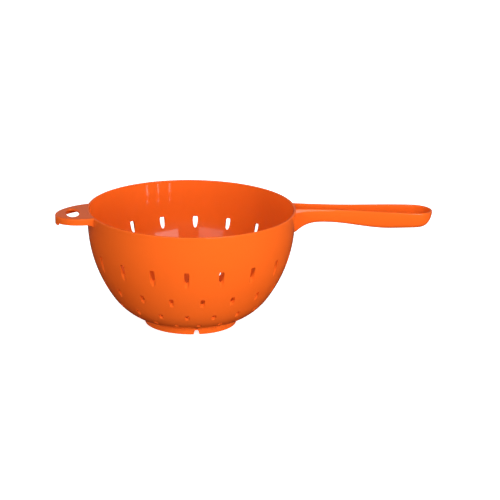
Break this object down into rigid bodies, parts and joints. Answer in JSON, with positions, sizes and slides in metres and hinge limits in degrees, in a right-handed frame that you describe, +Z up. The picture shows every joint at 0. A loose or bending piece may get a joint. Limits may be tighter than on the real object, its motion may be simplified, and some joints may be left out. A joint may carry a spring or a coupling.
{
  "type": "colander",
  "caption": "Long-handled round-bottomed plastic colander or sifting scoop with rings of slots, a notched foot ring, an open channel handle and a hooked rest tab with a hanging hole.",
  "frame": {"origin": "on the bowl's axis, in the plane that the foot ring rests on", "axes": "+X from the bowl's axis along the handle, +Z up out of the bowl's mouth, +Y across, to the left when looking along the handle from the bowl"},
  "size_m": [0.4202, 0.23, 0.13],
  "materials": {
    "orange_plastic": "smooth, softly glossy injection-moulded polypropylene"
  },
  "bodies": {
    "root": {"rim_band": "orange_plastic", "top_slot_belt": "orange_plastic", "upper_slot_belt": "orange_plastic", "lower_slot_belt": "orange_plastic", "bottom_slot_belt": "orange_plastic", "bowl_floor": "orange_plastic", "foot_ring": "orange_plastic", "handle_channel": "orange_plastic", "rest_tab_plate": "orange_plastic", "rest_tab_skirt": "orange_plastic"}
  },
  "joints": []
}
